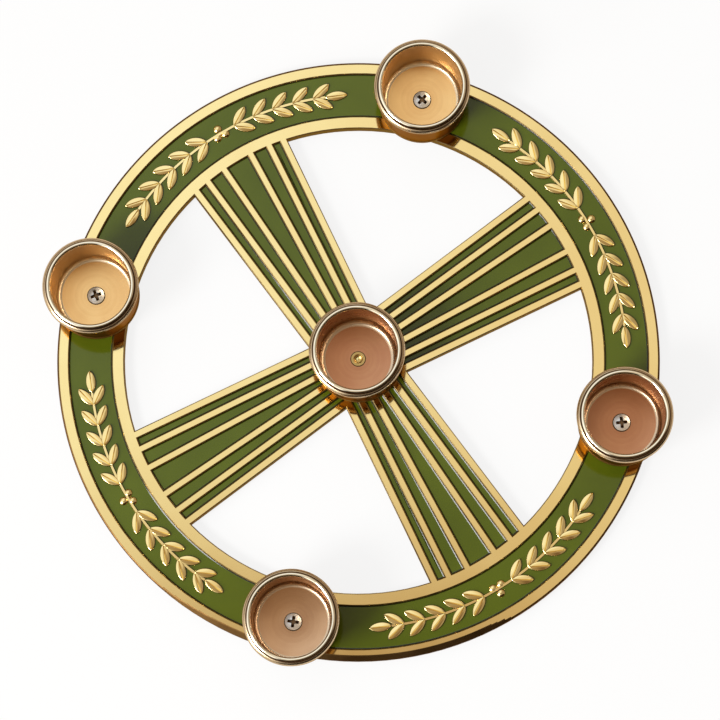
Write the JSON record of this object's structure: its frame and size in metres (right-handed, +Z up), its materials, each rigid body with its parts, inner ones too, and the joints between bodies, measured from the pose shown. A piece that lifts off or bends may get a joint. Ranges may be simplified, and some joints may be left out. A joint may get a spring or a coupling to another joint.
{
  "type": "advent candle holder",
  "caption": "Round table-top advent candle holder: a gold ring on a cross of flaring rays, inlaid with green enamel, carrying turned candle cups on the ring and at the hub.",
  "frame": {"origin": "centre of the plate's flat back, on the axis of the centre cup", "axes": "+Z up out of the cups; +X and +Y through the outer cups, the rays on the diagonals between them"},
  "size_m": [0.1876, 0.1876, 0.0291],
  "materials": {
    "gold_plate": "polished gold plate",
    "enamel": "gloss olive green enamel",
    "cup_metal": "satin champagne plate",
    "screw_metal": "bright zinc plate",
    "rivet_metal": "polished gold plate"
  },
  "bodies": {
    "root": {"base_plate": "gold_plate", "ring_enamel_ne": "enamel", "ray_enamel_ne_1": "enamel", "ray_enamel_ne_2": "enamel", "ray_enamel_ne_3": "enamel", "ray_enamel_ne_4": "enamel", "ray_enamel_ne_5": "enamel", "ring_enamel_nw": "enamel", "ray_enamel_nw_1": "enamel", "ray_enamel_nw_2": "enamel", "ray_enamel_nw_3": "enamel", "ray_enamel_nw_4": "enamel", "ray_enamel_nw_5": "enamel", "ring_enamel_sw": "enamel", "ray_enamel_sw_1": "enamel", "ray_enamel_sw_2": "enamel", "ray_enamel_sw_3": "enamel", "ray_enamel_sw_4": "enamel", "ray_enamel_sw_5": "enamel", "ring_enamel_se": "enamel", "ray_enamel_se_1": "enamel", "ray_enamel_se_2": "enamel", "ray_enamel_se_3": "enamel", "ray_enamel_se_4": "enamel", "ray_enamel_se_5": "enamel", "candle_cup_e": "cup_metal", "candle_cup_n": "cup_metal", "candle_cup_w": "cup_metal", "candle_cup_s": "cup_metal", "candle_cup_centre": "cup_metal", "cup_screws": "screw_metal", "centre_rivet": "rivet_metal"}
  },
  "joints": []
}
